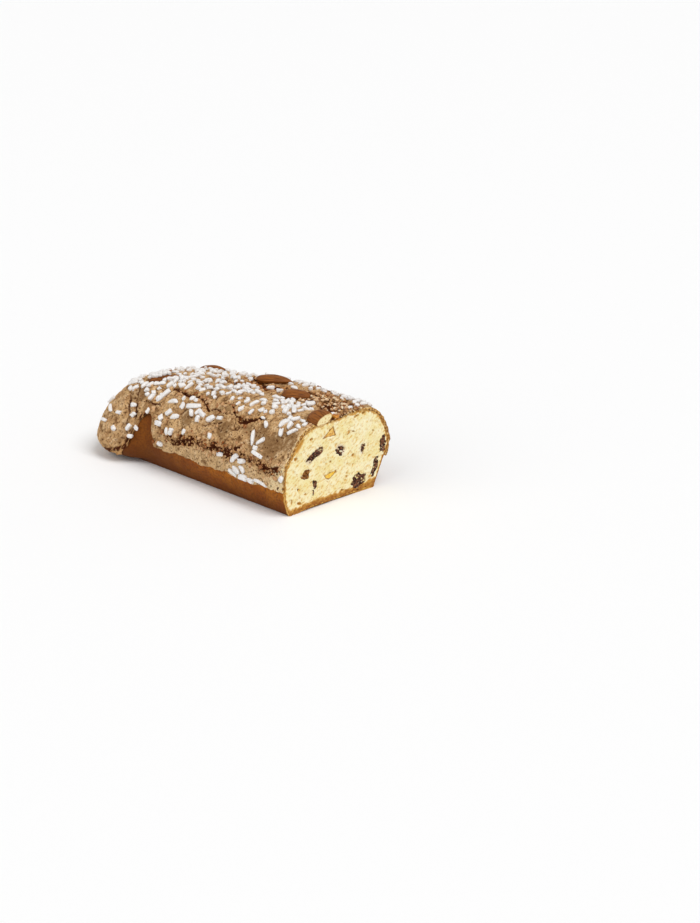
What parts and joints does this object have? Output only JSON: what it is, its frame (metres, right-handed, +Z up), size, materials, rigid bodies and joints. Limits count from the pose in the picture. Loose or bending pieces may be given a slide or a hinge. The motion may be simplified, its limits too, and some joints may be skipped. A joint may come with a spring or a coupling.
{
  "type": "cut fruit loaf",
  "caption": "Long sweet fruit bread with one end sliced off, under a crackled nut glaze with pearl sugar and whole almonds; raisins and candied peel show in the cut.",
  "frame": {"origin": "on the base, under the middle of the bounding box", "axes": "+X along the loaf towards the cut face, -Y the side with the open arch in the glaze, +Z up"},
  "size_m": [0.2212, 0.125, 0.0712],
  "materials": {
    "bread": "open yellow crumb, golden brown crust on the walls and base",
    "nut_glaze": "dry crackled nut glaze, matt, with white pearl sugar",
    "almond_skin": "dry ridged brown skin, satin",
    "raisin": "wrinkled, moist, half gloss",
    "candied_peel": "translucent, sticky gloss"
  },
  "bodies": {
    "root": {"loaf": "bread", "glaze": "nut_glaze", "almond_1": "almond_skin", "almond_2": "almond_skin", "almond_3": "almond_skin", "almond_4": "almond_skin", "almond_5": "almond_skin", "almond_6": "almond_skin", "almond_7": "almond_skin", "almond_8": "almond_skin", "raisin_1": "raisin", "raisin_2": "raisin", "raisin_3": "raisin", "raisin_4": "raisin", "raisin_5": "raisin", "raisin_6": "raisin", "raisin_7": "raisin", "raisin_8": "raisin", "raisin_9": "raisin", "peel_1": "candied_peel", "peel_2": "candied_peel", "peel_3": "candied_peel", "peel_4": "candied_peel", "peel_5": "candied_peel", "peel_6": "candied_peel"}
  },
  "joints": []
}
